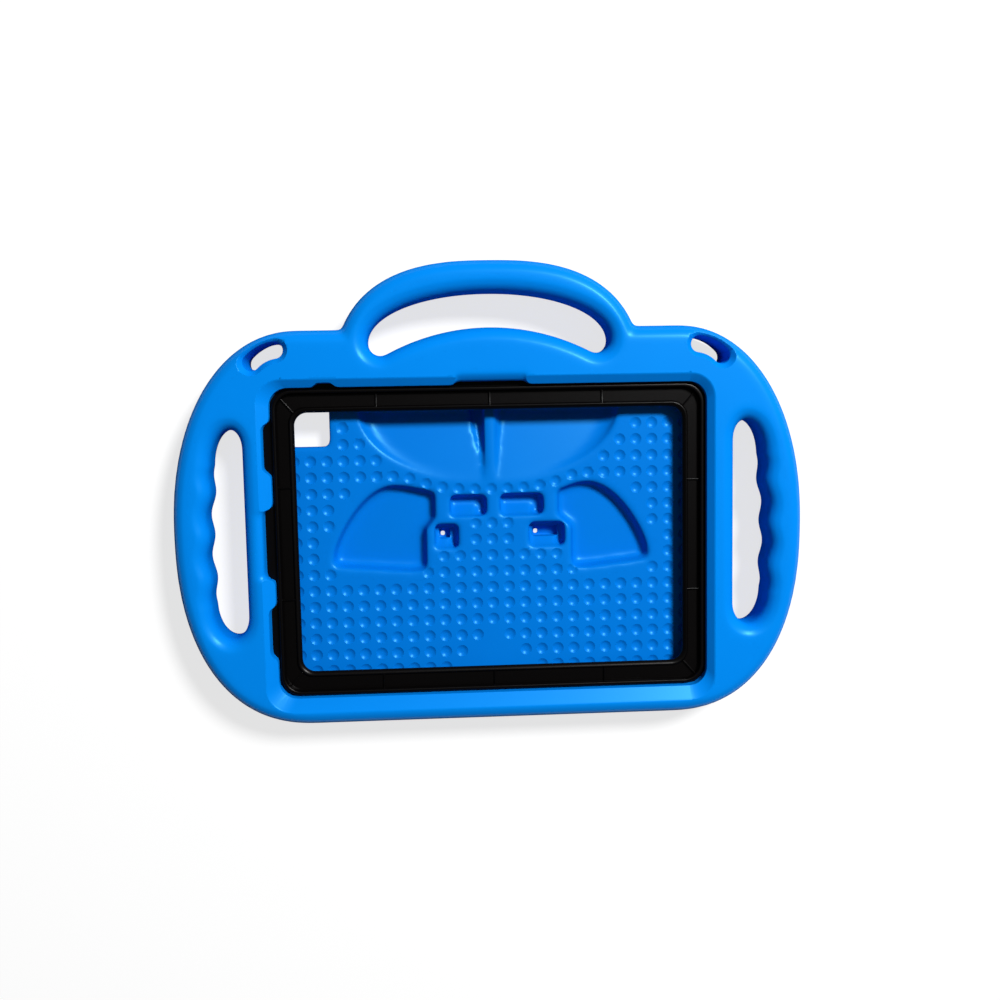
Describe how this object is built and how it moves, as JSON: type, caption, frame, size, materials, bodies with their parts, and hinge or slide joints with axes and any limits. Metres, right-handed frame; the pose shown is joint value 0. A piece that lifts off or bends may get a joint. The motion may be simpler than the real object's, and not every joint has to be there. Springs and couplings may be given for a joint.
{
  "type": "kids tablet case with handle",
  "caption": "Moulded foam carrying case for a small tablet, with an arched carrying handle, finger grips at both sides and a rigid frame over the tablet's edge.",
  "frame": {"origin": "middle of the tablet bay, on the flat back face of the case", "axes": "+X to the right seen from the screen side, +Y towards the carrying handle, +Z out of the screen side"},
  "size_m": [0.2904, 0.2118, 0.027],
  "materials": {
    "foam": "moulded closed-cell foam with a fine matt grain, bright blue",
    "frame": "satin black moulded plastic"
  },
  "bodies": {
    "root": {"foam_shell": "foam", "inner_frame": "frame"}
  },
  "joints": []
}
